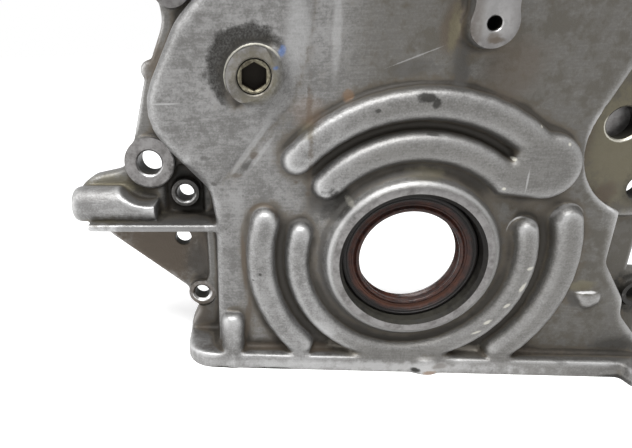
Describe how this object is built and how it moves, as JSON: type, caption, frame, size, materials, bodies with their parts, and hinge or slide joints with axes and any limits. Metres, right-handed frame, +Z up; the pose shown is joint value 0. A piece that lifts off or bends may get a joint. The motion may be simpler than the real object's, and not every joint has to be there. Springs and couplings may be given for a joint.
{
  "type": "timing cover",
  "caption": "Cast aluminium timing cover of a chain-drive engine, with crankshaft seal, screw plug, ribbed front, pipe stub and bolt flanges.",
  "frame": {"origin": "on the sump joint face, in the plane of the crankshaft axis, on the line of the sump screws 26 mm in front of the block joint", "axes": "+X to the cover's right seen from the front, along its length; the front faces -Y and the block joint faces +Y; +Z up, from the sump joint to the cylinder head joint"},
  "size_m": [0.2699, 0.0434, 0.18],
  "materials": {
    "cast_aluminium": "as cast, oil-stained, with milled joint and boss faces",
    "seal_elastomer": "moulded, satin, dark red-brown",
    "case_steel": "pressed steel, dull",
    "spring_steel": "bright wound wire",
    "plug_steel": "dull zinc plating, oil-stained"
  },
  "bodies": {
    "root": {"cover_casting": "cast_aluminium", "seal_body": "seal_elastomer", "seal_case": "case_steel", "garter_spring": "spring_steel", "screw_plug": "plug_steel"}
  },
  "joints": []
}
